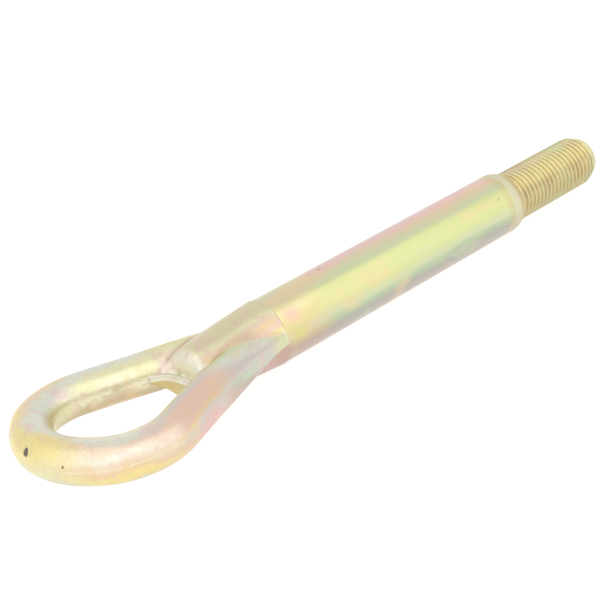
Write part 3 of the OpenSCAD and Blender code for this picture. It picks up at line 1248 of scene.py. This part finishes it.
@dataclass(frozen=True)
class SoftBox:
    """A flat studio lamp that faces the part, its angles in degrees and its sizes in metres."""

    name: str
    azimuth: float
    width: float
    height_angle: float
    height: float = 2.4
    distance: float = 1.2
    radiance: float = 0.33

    def place(self, target: Vector) -> None:
        """Add the lamp, its power being radiance times pi times its area.

        Args:
            target: The point that it faces.
        """
        data = bpy.data.lights.new(self.name, "AREA")
        data.shape = "RECTANGLE"
        data.size, data.size_y = self.width, self.height
        data.energy = self.radiance * math.pi * self.width * self.height
        lamp = bpy.data.objects.new(self.name, data)
        bpy.context.scene.collection.objects.link(lamp)
        turn, tilt = math.radians(self.azimuth), math.radians(self.height_angle)
        flat = math.cos(tilt)
        away = Vector((math.cos(turn) * flat, math.sin(turn) * flat, math.sin(tilt)))
        lamp.location = target + away * self.distance
        lamp.rotation_euler = away.to_track_quat("Z", "Y").to_euler()
        lamp.visible_camera = False


@dataclass(frozen=True)
class Studio:
    """A white table under soft lamps, and the camera at the photograph's angle."""

    lamps: tuple[SoftBox, ...] = (
        SoftBox("front_box", azimuth=270.0, width=2.6, height_angle=25.0),
        SoftBox("left_box", azimuth=180.0, width=2.2, height_angle=30.0),
    )
    target_mm: tuple[float, float, float] = (-90.0, 0.0, 0.0)
    lens_mm: float = 81.0
    sensor_mm: float = 36.0
    clip: tuple[float, float] = (0.01, 50.0)
    position_mm: tuple[float, float, float] = (-318.0, -316.6, 155.7)
    forward: tuple[float, float, float] = (0.5451, 0.7556, -0.3632)
    up: tuple[float, float, float] = (0.4057, 0.1414, 0.9030)
    shift: tuple[float, float] = (-0.0212, -0.008)
    floor_z_mm: float = -11.3
    floor_size: float = 8.0
    world_level: float = 0.8
    floor_grey: str = "#a8a8a8"
    floor_glow: float = 0.84

    def camera(self) -> None:
        """Add the camera, its axes being right, up and back."""
        data = bpy.data.cameras.new("camera")
        data.sensor_width = self.sensor_mm
        data.lens = self.lens_mm
        data.shift_x, data.shift_y = self.shift
        data.clip_start, data.clip_end = self.clip
        back = -Vector(self.forward).normalized()
        right = Vector(self.up).cross(back).normalized()
        turn = Matrix((right, back.cross(right), back)).transposed()
        camera = bpy.data.objects.new("camera", data)
        camera.matrix_world = Matrix.Translation(Vector(self.position_mm) * MM) @ turn.to_4x4()
        bpy.context.scene.collection.objects.link(camera)
        bpy.context.scene.camera = camera

    def seen(self, tree: bpy.types.NodeTree) -> bpy.types.NodeSocket:
        """Tell the rays that show a thing from those that light it.

        Args:
            tree: The tree that asks.

        Returns:
            Socket of 1 for a camera, glossy or transmission ray, and 0 for the rest.
        """
        rays = add_node(tree, "ShaderNodeLightPath").outputs
        seen = rays["Is Camera Ray"]
        for name in ("Is Glossy Ray", "Is Transmission Ray"):
            seen = add_node(tree, "ShaderNodeMath", {0: seen, 1: rays[name]},
                            operation="MAXIMUM").outputs[0]
        return seen

    def floor(self) -> None:
        """Add the table: a grey diffuse plane that glows where it is seen, so the shadow stays."""
        mesh = bpy.data.meshes.new("floor")
        half = self.floor_size / 2
        corners = ((-half, -half), (half, -half), (half, half), (-half, half))
        mesh.from_pydata([(x, y, self.floor_z_mm * MM) for x, y in corners], [], [(0, 1, 2, 3)])
        floor = bpy.data.objects.new("floor", mesh)
        bpy.context.scene.collection.objects.link(floor)
        material = bpy.data.materials.new("white_table")
        material.use_nodes = True
        tree = material.node_tree
        tree.nodes.clear()
        diffuse = add_node(tree, "ShaderNodeBsdfDiffuse", {"Color": to_linear(self.floor_grey)})
        strength = add_node(tree, "ShaderNodeMath", {0: self.seen(tree), 1: self.floor_glow},
                            operation="MULTIPLY")
        glow = add_node(tree, "ShaderNodeEmission", {
            "Color": (1.0, 1.0, 1.0, 1.0), "Strength": strength.outputs[0]})
        both = add_node(tree, "ShaderNodeAddShader", {0: diffuse.outputs[0], 1: glow.outputs[0]})
        add_node(tree, "ShaderNodeOutputMaterial", {"Surface": both.outputs[0]})
        mesh.materials.append(material)

    def world(self) -> None:
        """Light the part evenly, and show white behind it."""
        world = bpy.data.worlds.new("studio")
        bpy.context.scene.world = world
        world.use_nodes = True
        tree = world.node_tree
        tree.nodes.clear()
        level = add_node(tree, "ShaderNodeMapRange", {
            "Value": self.seen(tree), "To Min": self.world_level, "To Max": 1.0})
        back = add_node(tree, "ShaderNodeBackground", {
            "Color": (1.0, 1.0, 1.0, 1.0), "Strength": level.outputs["Result"]})
        add_node(tree, "ShaderNodeOutputWorld", {"Surface": back.outputs[0]})

    def build(self) -> None:
        """Set up the camera, the table, the world and the lamps."""
        self.camera()
        self.floor()
        self.world()
        for lamp in self.lamps:
            lamp.place(Vector(self.target_mm) * MM)
        bpy.context.scene.view_settings.view_transform = "Standard"


# ---------------------------------------------------------------- assembly

@dataclass
class TowEye:
    """The whole towing eye: forging, turned shank and threaded end, one solid in three finishes."""

    eye: ForgedEye
    shank: TurnedShank
    thread: ThreadedEnd

    def build(self) -> None:
        """Make the three skins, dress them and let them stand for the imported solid.

        The number beside each skin is the angle in degrees past which its edges stay sharp.
        """
        forged = ForgedFilm("forged_yellow_zinc", FORGED_COAT)
        turned = TurnedFilm("turned_yellow_zinc", TURNED_COAT, roughness=0.24)
        rolled = ThreadFilm("rolled_yellow_zinc", THREAD_COAT)
        parts = (
            ("forged_eye", self.eye.skin(), 38.0, forged),
            ("turned_shank", self.shank.skin(), 50.0, turned),
            ("threaded_end", self.thread.skin(), 60.0, rolled),
        )
        for name, skin, crease_angle, finish in parts:
            piece = skin.to_piece(name, crease_angle)
            piece.data.materials.append(finish.material())
            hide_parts(CAD_NODE)
            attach(piece, BODY)
            LOG.info("%s: %d points, %d triangles", name, len(skin.points), len(skin.triangles))


def main() -> None:
    """Build the studio and the towing eye."""
    logging.basicConfig(level=logging.INFO, format="%(message)s")
    Studio().build()
    TowEye(ForgedEye(), TurnedShank(), ThreadedEnd()).build()


if __name__ == "__main__":
    main()
